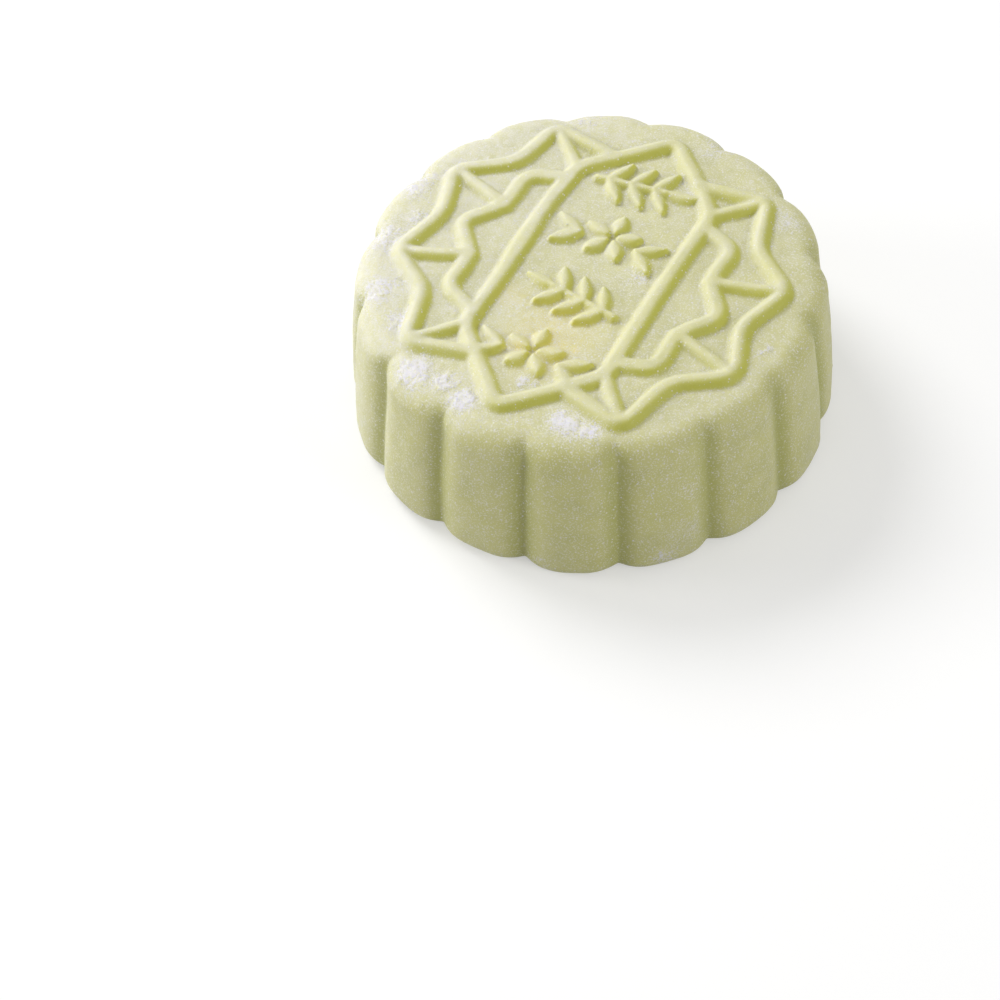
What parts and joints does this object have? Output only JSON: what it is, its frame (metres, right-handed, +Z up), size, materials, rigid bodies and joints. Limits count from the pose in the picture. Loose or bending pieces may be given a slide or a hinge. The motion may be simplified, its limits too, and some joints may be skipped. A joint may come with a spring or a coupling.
{
  "type": "mooncake",
  "caption": "Round snow-skin mooncake with a scalloped side and a raised star, panel, leaf and blossom moulding on its flat top.",
  "frame": {"origin": "middle of the flat base, on the surface that the cake stands on", "axes": "+Z up through the moulded top, +Y along the top's long six-sided panel, +X across it"},
  "size_m": [0.065, 0.065, 0.0237],
  "materials": {
    "snow_skin": "soft matte rice dough, pale yellow-green, dusted with white rice flour"
  },
  "bodies": {
    "root": {"mooncake": "snow_skin"}
  },
  "joints": []
}
